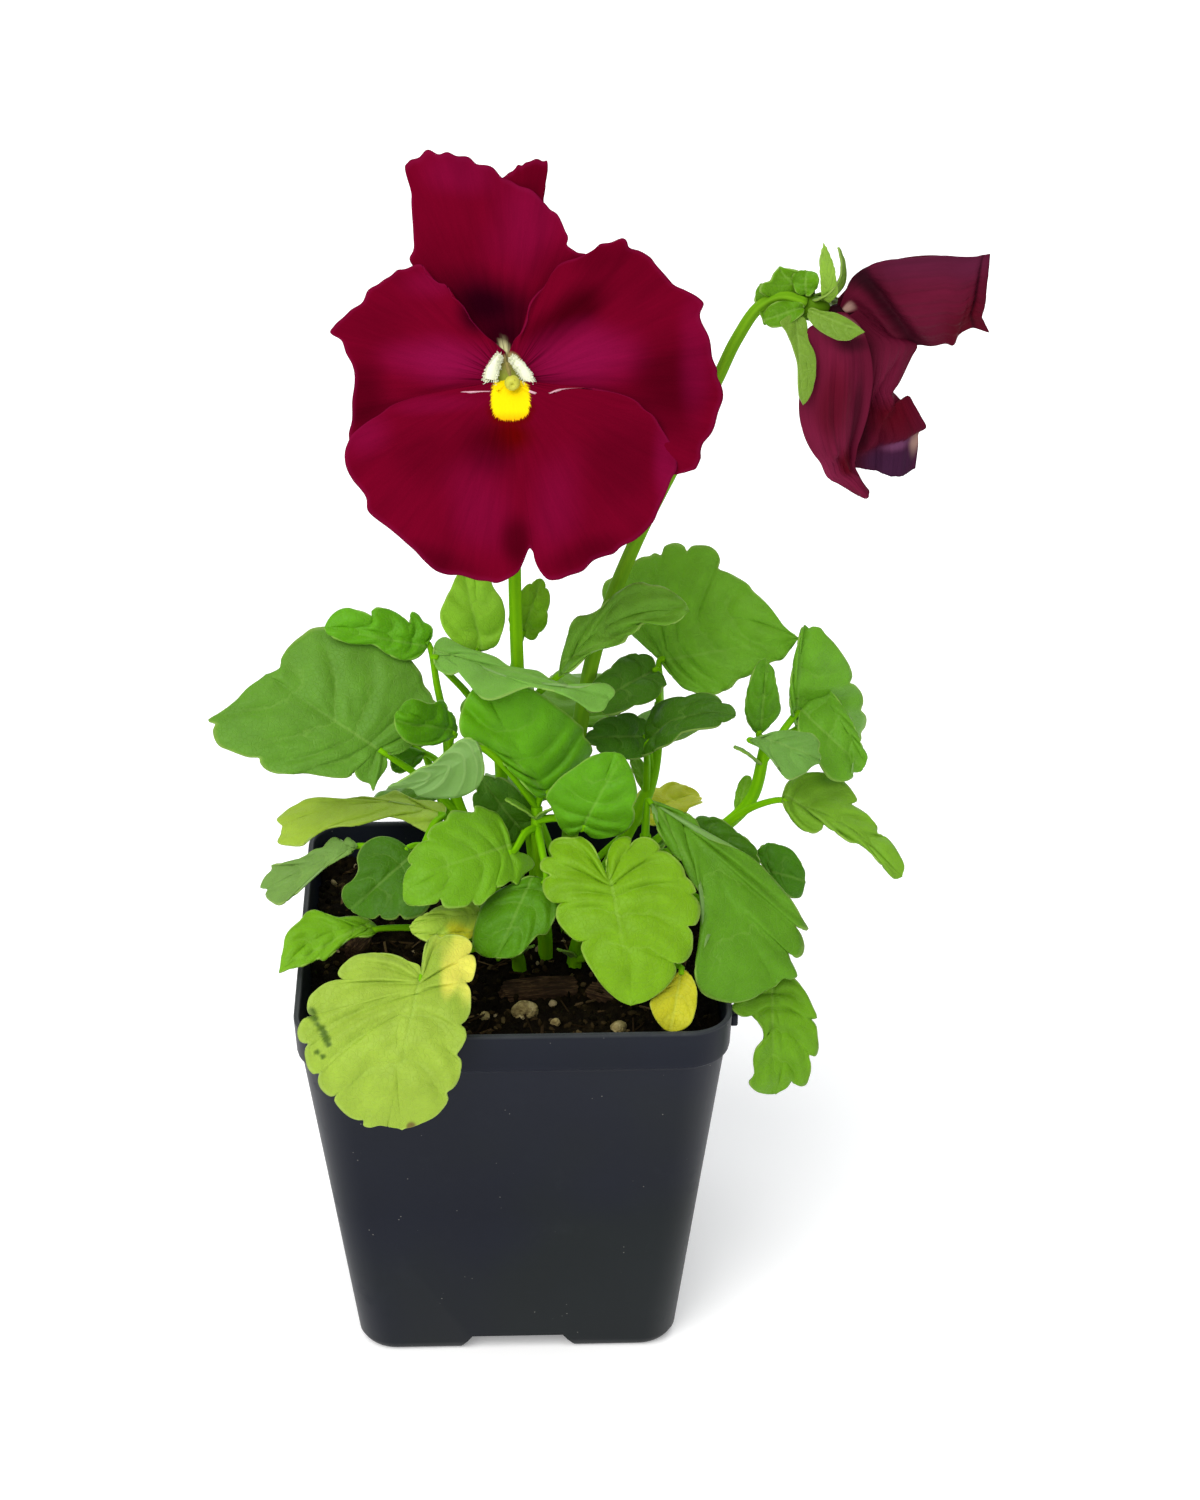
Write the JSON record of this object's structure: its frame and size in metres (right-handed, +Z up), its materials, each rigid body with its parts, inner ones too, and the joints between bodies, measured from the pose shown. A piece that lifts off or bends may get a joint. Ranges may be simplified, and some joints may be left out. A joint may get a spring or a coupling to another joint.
{
  "type": "potted pansy planter",
  "caption": "Garden pansy in a square plastic nursery pot: leafy stems in soil, one open dark red bloom and one wilted bloom on tall stalks.",
  "frame": {"origin": "centre of the pot's flat underside, on the surface that the pot stands on", "axes": "+Z up along the pot's height, -Y towards the side that the open bloom faces, +X to the right of that side"},
  "size_m": [0.1542, 0.1125, 0.2574],
  "materials": {
    "pot": "satin",
    "soil": "matte",
    "pumice": "matte",
    "bark": "matte",
    "leaf": "satin",
    "stalk": "satin",
    "petal": "satin",
    "wilted_petal": "matte"
  },
  "bodies": {
    "root": {"pot": "pot", "soil": "soil", "pumice_large": "pumice", "pumice_right": "pumice", "pumice_left": "pumice", "pumice_middle": "pumice", "pumice_back": "pumice", "pumice_side": "pumice", "bark_front": "bark", "bark_front_small": "bark", "bark_left": "bark", "bark_left_front": "bark", "bark_right": "bark", "bark_back": "bark", "stem_left_high": "leaf", "stem_left_low": "leaf", "stem_front_left": "leaf", "stem_centre": "leaf", "stem_front": "leaf", "stem_right_front": "leaf", "stem_right": "leaf", "stem_right_back": "leaf", "stem_back_centre": "leaf", "stem_back_left": "leaf", "stem_back": "leaf", "bloom_stalk": "stalk", "bloom_petals": "petal", "wilted_stalk": "stalk", "wilted_petals": "wilted_petal"}
  },
  "joints": []
}
